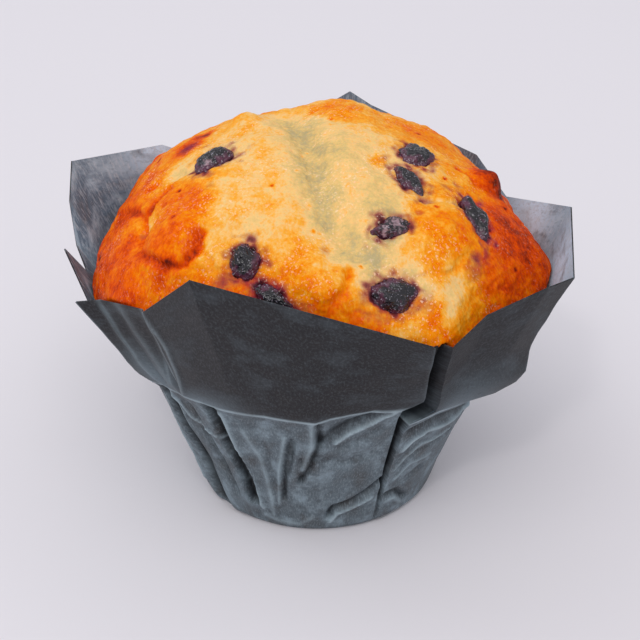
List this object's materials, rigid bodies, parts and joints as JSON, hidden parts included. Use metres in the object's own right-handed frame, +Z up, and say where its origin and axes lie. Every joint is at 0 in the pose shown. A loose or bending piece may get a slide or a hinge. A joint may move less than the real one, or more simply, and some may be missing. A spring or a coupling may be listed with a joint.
{
  "type": "muffin",
  "caption": "Domed, cracked berry muffin in a dark folded greaseproof tulip case with tall pointed petals.",
  "frame": {"origin": "centre of the flat bottom of the paper case, on the surface that the muffin stands on", "axes": "+Z up, -Y towards the viewer of the picture, +X to the viewer's right"},
  "size_m": [0.1035, 0.1008, 0.0802],
  "materials": {
    "crust": "baked crust, golden to deep orange, slightly glossy",
    "paper": "dark grey greaseproof paper, matt with a waxy sheen",
    "berry": "baked berry skin, near black, wet and wrinkled"
  },
  "bodies": {
    "root": {"muffin": "crust", "paper_case": "paper", "berry_1": "berry", "berry_2": "berry", "berry_3": "berry", "berry_4": "berry", "berry_5": "berry", "berry_6": "berry", "berry_7": "berry", "berry_8": "berry"}
  },
  "joints": []
}
